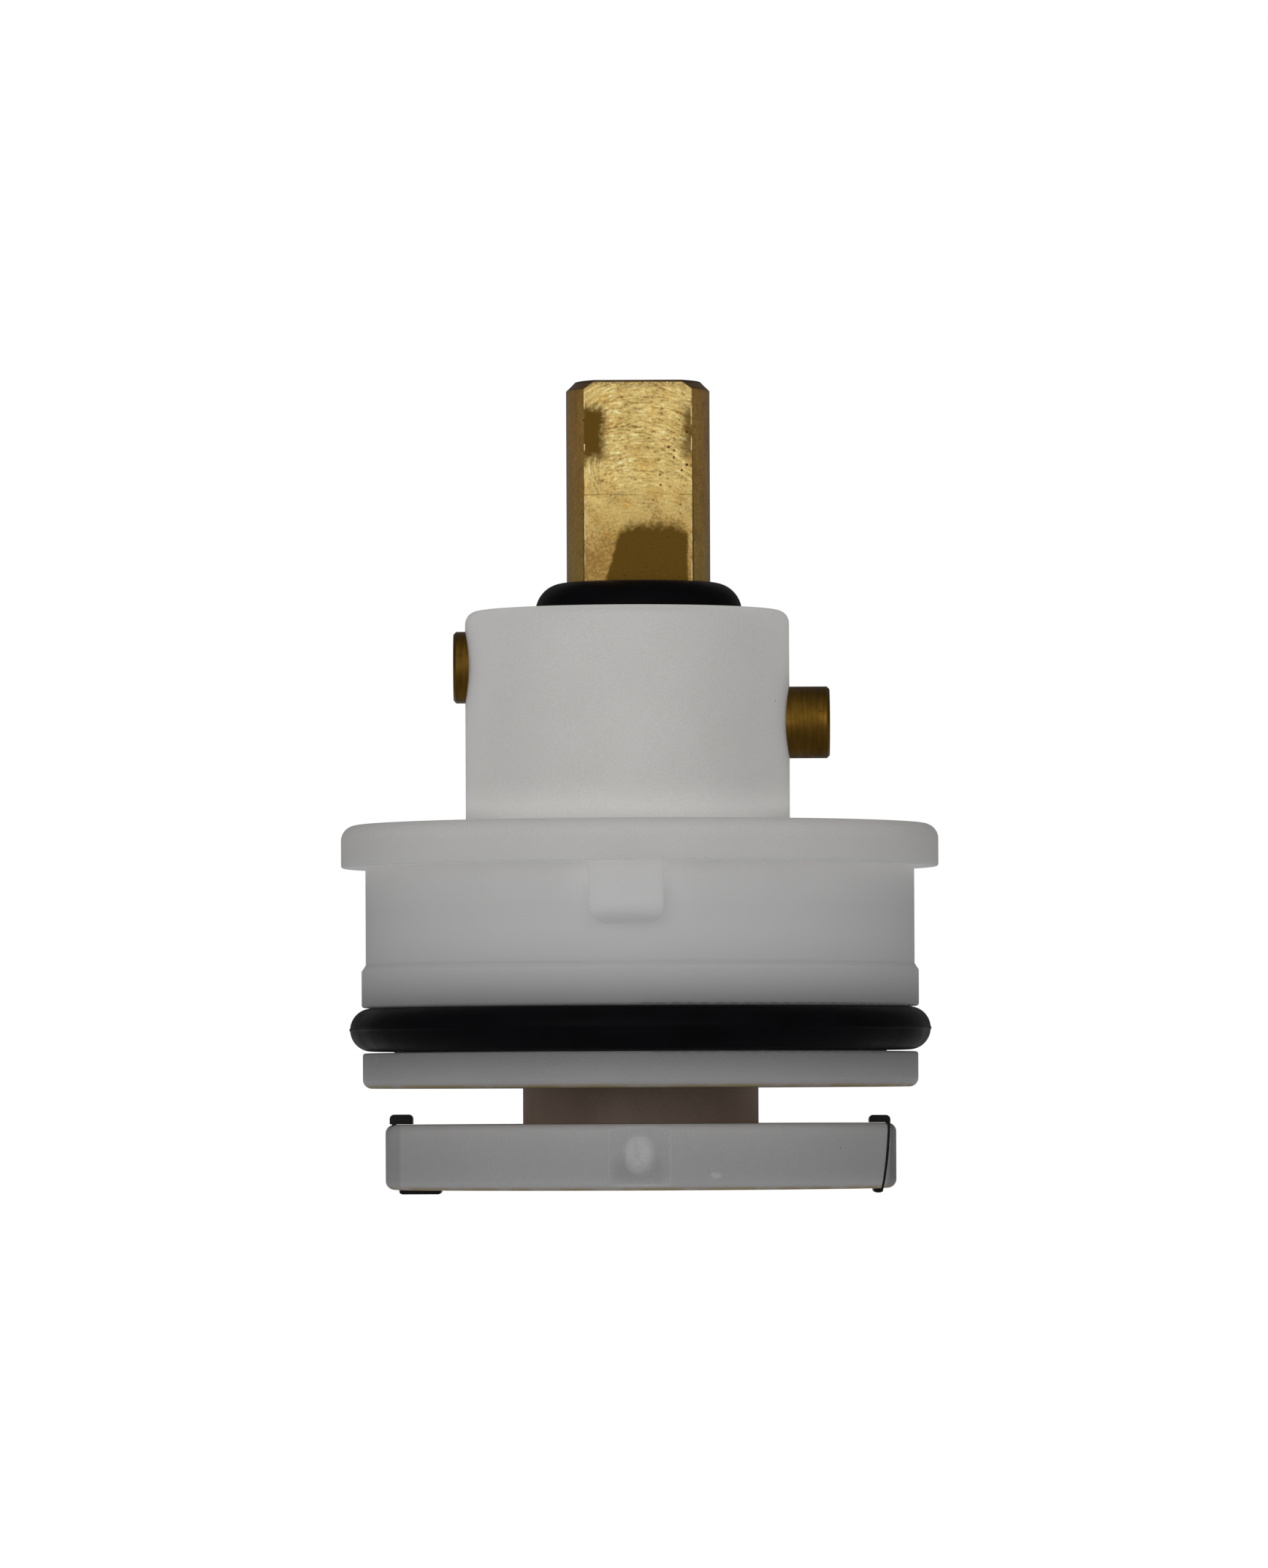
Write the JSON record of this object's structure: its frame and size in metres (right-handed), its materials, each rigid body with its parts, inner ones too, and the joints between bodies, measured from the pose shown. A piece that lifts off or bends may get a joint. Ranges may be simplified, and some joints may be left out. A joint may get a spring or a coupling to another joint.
{
  "type": "diverter valve cartridge",
  "caption": "Rotary diverter cartridge: brass stem with two drive flats, flanged white housing with a key, body O-ring, and a spring-loaded seal plate turned below it.",
  "frame": {"origin": "on the stem's axis, at the height of the flange's underside, which seats on the valve body", "axes": "+Z along the stem, towards the end with the drive flats; -Y is the front, where the locating key is; +X is to the right seen from the front"},
  "size_m": [0.0332, 0.0332, 0.0451],
  "materials": {
    "white_acetal": "natural acetal, satin, slightly translucent",
    "white_ptfe": "smooth, waxy",
    "black_rubber": "moulded nitrile, lightly greased",
    "machined_brass": "milled and turned, with tool marks",
    "pin_brass": "drawn, tarnished",
    "brown_plastic": "filled nylon",
    "stainless_steel": "bright drawn"
  },
  "bodies": {
    "cartridge_body": {"housing": "white_acetal", "bottom_cap": "white_acetal", "body_o_ring": "black_rubber", "stop_pin": "pin_brass", "retaining_pin": "pin_brass", "thrust_washer": "white_ptfe", "glide_washer": "white_ptfe"},
    "stem_group": {"stem": "machined_brass", "stem_wiper_ring": "black_rubber", "stem_o_ring_upper": "black_rubber", "stem_o_ring_lower": "black_rubber", "spring_seat": "stainless_steel"},
    "rotor_group": {"drive_hub": "brown_plastic", "hub_insert": "machined_brass", "hub_o_ring": "black_rubber", "rotor_spring": "stainless_steel", "seal_plate": "white_acetal", "side_seal_left": "black_rubber", "side_seal_right": "black_rubber", "port_seal": "black_rubber", "plate_washer": "stainless_steel", "plate_screw": "stainless_steel"}
  },
  "joints": [
    {"name": "stem_turn", "type": "hinge", "parent": "cartridge_body", "child": "stem_group", "pos_m": [0, 0, 0], "axis": [0, 0, 1], "range_deg": [-60, 60]},
    {"name": "plate_float", "type": "slide", "parent": "stem_group", "child": "rotor_group", "axis": [0, 0, 1], "range_m": [0, 0.0012], "stiffness_N_per_m": 6000, "springref_m": -0.002, "deforming": ["rotor_spring"]}
  ]
}
